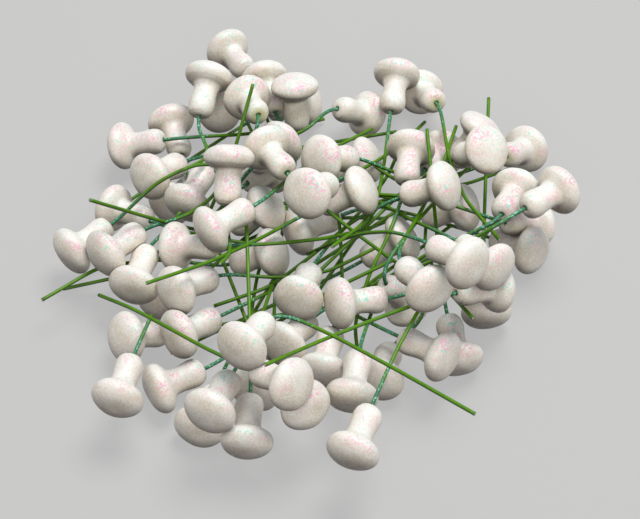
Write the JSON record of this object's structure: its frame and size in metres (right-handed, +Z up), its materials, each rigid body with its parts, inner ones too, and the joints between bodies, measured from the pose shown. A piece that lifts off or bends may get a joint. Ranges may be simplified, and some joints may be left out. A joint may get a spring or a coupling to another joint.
{
  "type": "artificial mushroom pick bunch",
  "caption": "Loose bunch of glittered foam mushroom picks on green coated wires, heaped on a surface, for wreaths, cakes and floral craft.",
  "frame": {"origin": "on the surface that the heap lies on, under the middle of its bounding box", "axes": "+Z up; +Y from the near side of the heap, where most mushrooms show their caps, to its far side, where most cut wire ends stick out"},
  "size_m": [0.1882, 0.2018, 0.0641],
  "materials": {
    "glittered_foam": "creamy white foam under a fine pearl glitter that glints pink and teal",
    "coated_wire": "leaf green coat with a soft sheen, teal glitter near the mushroom, bare metal at the cut"
  },
  "bodies": {
    "root": {"mushroom_03": "glittered_foam", "mushroom_04": "glittered_foam", "mushroom_09": "glittered_foam", "mushroom_10": "glittered_foam", "mushroom_13": "glittered_foam", "mushroom_15": "glittered_foam", "mushroom_18": "glittered_foam", "mushroom_21": "glittered_foam", "mushroom_22": "glittered_foam", "mushroom_23": "glittered_foam", "mushroom_24": "glittered_foam", "mushroom_25": "glittered_foam", "mushroom_26": "glittered_foam", "mushroom_27": "glittered_foam", "mushroom_28": "glittered_foam", "mushroom_29": "glittered_foam", "mushroom_30": "glittered_foam", "mushroom_33": "glittered_foam", "mushroom_34": "glittered_foam", "mushroom_35": "glittered_foam", "mushroom_38": "glittered_foam", "mushroom_39": "glittered_foam", "mushroom_42": "glittered_foam", "mushroom_45": "glittered_foam", "mushroom_50": "glittered_foam", "mushroom_51": "glittered_foam", "mushroom_53": "glittered_foam", "mushroom_54": "glittered_foam", "mushroom_55": "glittered_foam", "mushroom_58": "glittered_foam", "mushroom_61": "glittered_foam", "mushroom_62": "glittered_foam", "mushroom_63": "glittered_foam", "mushroom_65": "glittered_foam", "mushroom_66": "glittered_foam", "mushroom_67": "glittered_foam", "mushroom_69": "glittered_foam", "mushroom_70": "glittered_foam", "mushrooms_01_02": "glittered_foam", "mushrooms_05_20_56": "glittered_foam", "mushrooms_06_17_68": "glittered_foam", "mushrooms_07_08_36": "glittered_foam", "mushrooms_11_12_48": "glittered_foam", "mushrooms_14_40_46": "glittered_foam", "mushrooms_16_59_60": "glittered_foam", "mushrooms_19_49": "glittered_foam", "mushrooms_31_72": "glittered_foam", "mushrooms_32_57": "glittered_foam", "mushrooms_37_64": "glittered_foam", "mushrooms_41_52": "glittered_foam", "mushrooms_43_44": "glittered_foam", "mushrooms_47_71": "glittered_foam", "wire_tangle": "coated_wire", "wires_aside_1": "coated_wire", "wires_aside_2": "coated_wire", "wires_aside_3": "coated_wire"}
  },
  "joints": []
}
